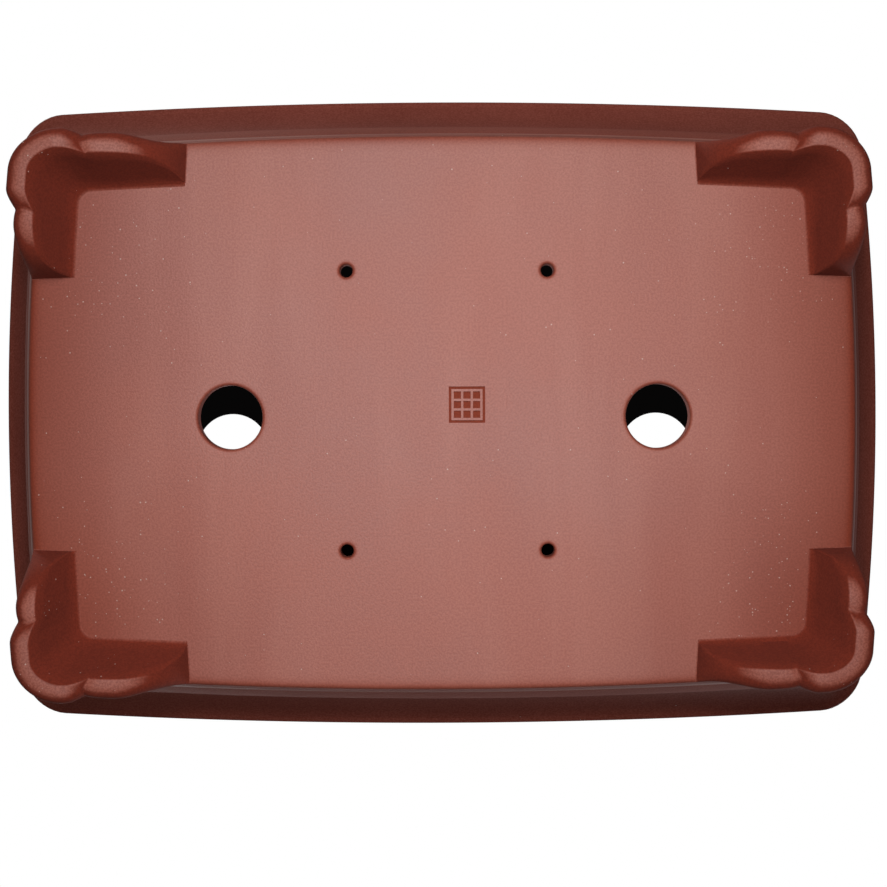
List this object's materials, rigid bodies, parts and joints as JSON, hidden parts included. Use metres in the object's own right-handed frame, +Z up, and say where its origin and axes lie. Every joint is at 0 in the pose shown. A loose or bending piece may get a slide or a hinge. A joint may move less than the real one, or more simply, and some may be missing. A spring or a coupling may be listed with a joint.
{
  "type": "bonsai pot",
  "caption": "Rectangular unglazed stoneware bonsai pot with bowed sides, a flared lip, lobed cloud feet at the corners, round drain holes and tie-wire holes.",
  "frame": {"origin": "middle of the pot's footprint, on the ground it stands on", "axes": "+X along the long side, +Y towards the back long side, +Z up"},
  "size_m": [0.45, 0.322, 0.144],
  "materials": {
    "floor_clay": "matte unglazed red stoneware, scraped and wiped",
    "wall_clay": "burnished unglazed stoneware, darker brown",
    "lip_clay": "burnished unglazed stoneware, darker brown",
    "foot_clay": "unglazed red stoneware, satin on the edges"
  },
  "bodies": {
    "root": {"floor_slab": "floor_clay", "long_wall_front": "wall_clay", "long_wall_back": "wall_clay", "short_wall_left": "wall_clay", "short_wall_right": "wall_clay", "rim_front": "lip_clay", "rim_back": "lip_clay", "rim_left": "lip_clay", "rim_right": "lip_clay", "foot_front_left": "foot_clay", "foot_front_right": "foot_clay", "foot_back_left": "foot_clay", "foot_back_right": "foot_clay"}
  },
  "joints": []
}
